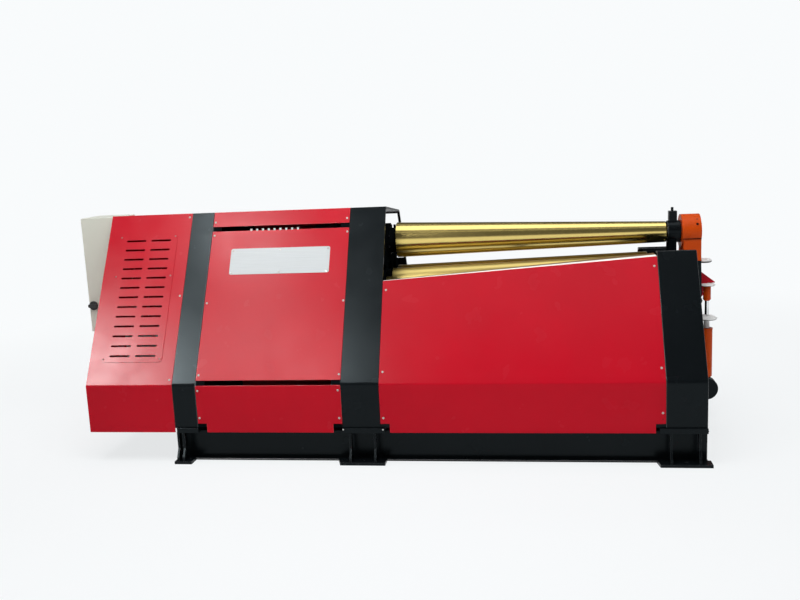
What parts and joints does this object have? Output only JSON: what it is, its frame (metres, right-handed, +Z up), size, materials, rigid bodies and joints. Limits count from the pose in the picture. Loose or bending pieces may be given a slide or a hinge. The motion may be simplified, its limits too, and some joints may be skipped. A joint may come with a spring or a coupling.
{
  "type": "four-roll plate rolling machine",
  "caption": "Floor-standing plate rolling machine with conical rolls between two stands, folded sheet skirts, a hydraulic drive end and a tilting drop-end for taking off rolled shells.",
  "frame": {"origin": "centre of the four corner anchor holes on the floor plane", "axes": "+X along the rolls towards the drop-end, -Y towards the operator, +Z up"},
  "size_m": [3.968, 1.72, 1.414],
  "materials": {
    "red_paint": "satin",
    "black_paint": "satin",
    "orange_paint": "satin",
    "grey_paint": "satin",
    "roll_steel": "polished",
    "machined_steel": "machined",
    "chromed_rod": "polished",
    "cast_housing": "painted",
    "plate_aluminium": "satin",
    "bronze": "machined",
    "black_plastic": "matte"
  },
  "bodies": {
    "machine_frame": {"base_rails": "black_paint", "base_cross_members": "black_paint", "stand_sole_plates": "black_paint", "anchor_feet": "black_paint", "left_hoop": "black_paint", "middle_hoop": "black_paint", "right_legs": "black_paint", "roll_stand_left": "black_paint", "roll_stand_right": "black_paint", "stand_tie_bars": "black_paint", "top_roll_bearing": "black_paint", "top_gearbox": "cast_housing", "top_drive_motor": "cast_housing", "lift_cylinder_barrels": "orange_paint", "end_cover_front": "red_paint", "end_cover_plate": "red_paint", "end_cover_floor": "black_paint", "rear_cover_sheets": "red_paint", "roof_sheets": "red_paint", "vent_panel": "red_paint", "drive_top_strip": "red_paint", "drive_front_panel": "red_paint", "drive_lower_panels": "red_paint", "nameplate": "plate_aluminium", "roll_panel_front": "red_paint", "roll_panel_rear": "red_paint", "hydraulic_tank": "red_paint", "pump_set": "grey_paint", "valve_block": "cast_housing", "oil_cooler": "plate_aluminium", "cabinet_body": "grey_paint", "cabinet_backplate": "grey_paint", "cabinet_hinges": "black_plastic", "drop_end_brackets": "black_paint", "drop_end_pins": "black_paint", "drop_cylinder_barrel": "orange_paint", "drop_cylinder_gland": "machined_steel", "drop_cylinder_foot": "black_paint"},
    "top_roll_body": {"top_roll": "roll_steel"},
    "bottom_lift": {"bottom_roll_chocks": "cast_housing", "bottom_lift_rods": "chromed_rod", "bottom_gearbox": "cast_housing", "bottom_drive_motor": "cast_housing"},
    "bottom_roll_body": {"bottom_roll": "roll_steel"},
    "front_lift": {"front_roll_chocks": "cast_housing", "front_lift_rods": "chromed_rod"},
    "front_roll_body": {"front_side_roll": "roll_steel"},
    "rear_lift": {"rear_roll_chocks": "cast_housing", "rear_lift_rods": "chromed_rod"},
    "rear_roll_body": {"rear_side_roll": "roll_steel"},
    "drop_end": {"drop_end_housing": "orange_paint", "drop_end_bush": "bronze", "neck_sleeve": "black_paint", "drop_end_lever": "red_paint", "lever_strut": "machined_steel"},
    "drop_rod": {"drop_cylinder_rod": "chromed_rod", "rod_clevis": "orange_paint", "clevis_hardware": "machined_steel"},
    "cabinet_door_body": {"cabinet_door": "grey_paint"},
    "cabinet_handle_body": {"cabinet_handle": "black_plastic"}
  },
  "joints": [
    {"name": "top_roll_spin", "type": "hinge", "parent": "machine_frame", "child": "top_roll_body", "pos_m": [-0.24, 0, 1.183], "axis": [1, 0, 0], "continuous": true},
    {"name": "bottom_roll_lift", "type": "slide", "parent": "machine_frame", "child": "bottom_lift", "axis": [0, 0, 1], "range_m": [0, 0.044]},
    {"name": "bottom_roll_spin", "type": "hinge", "parent": "bottom_lift", "child": "bottom_roll_body", "pos_m": [-0.24, 0, 0.932], "axis": [0.9987, 0, 0.0519], "continuous": true},
    {"name": "front_roll_lift", "type": "slide", "parent": "machine_frame", "child": "front_lift", "axis": [0, 0.4226, 0.9063], "range_m": [-0.055, 0.045]},
    {"name": "front_roll_spin", "type": "hinge", "parent": "front_lift", "child": "front_roll_body", "pos_m": [-0.24, -0.21976, 0.95185], "axis": [0.9987, 0, 0.0519], "continuous": true},
    {"name": "rear_roll_lift", "type": "slide", "parent": "machine_frame", "child": "rear_lift", "axis": [0, -0.4226, 0.9063], "range_m": [0, 0.1]},
    {"name": "rear_roll_spin", "type": "hinge", "parent": "rear_lift", "child": "rear_roll_body", "pos_m": [-0.24, 0.243, 0.902], "axis": [0.9987, 0, 0.0519], "continuous": true},
    {"name": "drop_end_tilt", "type": "hinge", "parent": "machine_frame", "child": "drop_end", "pos_m": [1.57, 0, 0.773], "axis": [0, 1, 0], "range_deg": [0, 55]},
    {"name": "drop_rod_slide", "type": "slide", "parent": "machine_frame", "child": "drop_rod", "axis": [0, 0, 1], "range_m": [-0.085, 0]},
    {"name": "cabinet_door_swing", "type": "hinge", "parent": "machine_frame", "child": "cabinet_door_body", "pos_m": [-2.016, -0.208, 1.034], "axis": [0, 0, 1], "range_deg": [0, 80]},
    {"name": "cabinet_handle_turn", "type": "hinge", "parent": "cabinet_door_body", "child": "cabinet_handle_body", "pos_m": [-2.219, -0.218, 0.838], "axis": [0, 1, 0], "range_deg": [0, 90]}
  ],
  "couplings": [
    {"joint": "bottom_roll_spin", "follows": "top_roll_spin", "ratio": -1.2222},
    {"joint": "drop_rod_slide", "follows": "drop_end_tilt", "m_per_rad": -0.0875}
  ]
}
